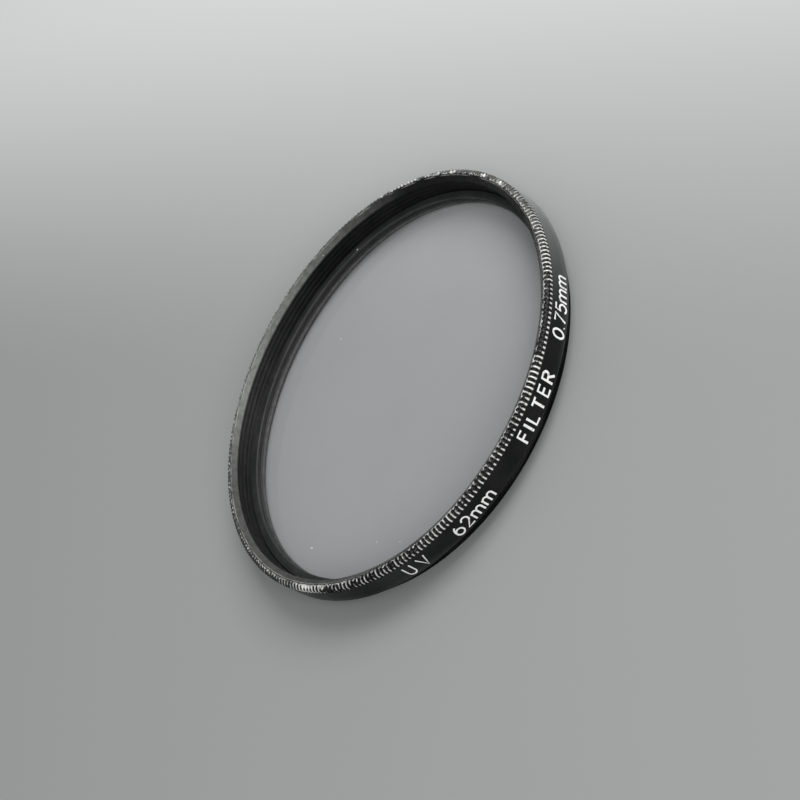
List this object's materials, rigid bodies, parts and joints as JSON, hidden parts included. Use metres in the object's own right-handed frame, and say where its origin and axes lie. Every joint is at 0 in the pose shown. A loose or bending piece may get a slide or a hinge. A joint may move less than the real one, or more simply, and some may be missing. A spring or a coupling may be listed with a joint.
{
  "type": "ultraviolet lens filter",
  "caption": "Round screw-in ultraviolet filter: clear glass in a black turned ring with a knurled front edge, a female thread in front and a male thread behind.",
  "frame": {"origin": "on the axis of the ring, in the plane of the rear end of the male thread", "axes": "+Z along the axis of the ring, from the male thread towards the front face; X and Y across the ring"},
  "size_m": [0.065, 0.065, 0.0064],
  "materials": {
    "black_anodised": "satin",
    "clear_glass": "gloss",
    "grey_anodised": "satin"
  },
  "bodies": {
    "root": {"frame_ring": "black_anodised", "glass_disc": "clear_glass", "retaining_ring": "grey_anodised"}
  },
  "joints": []
}
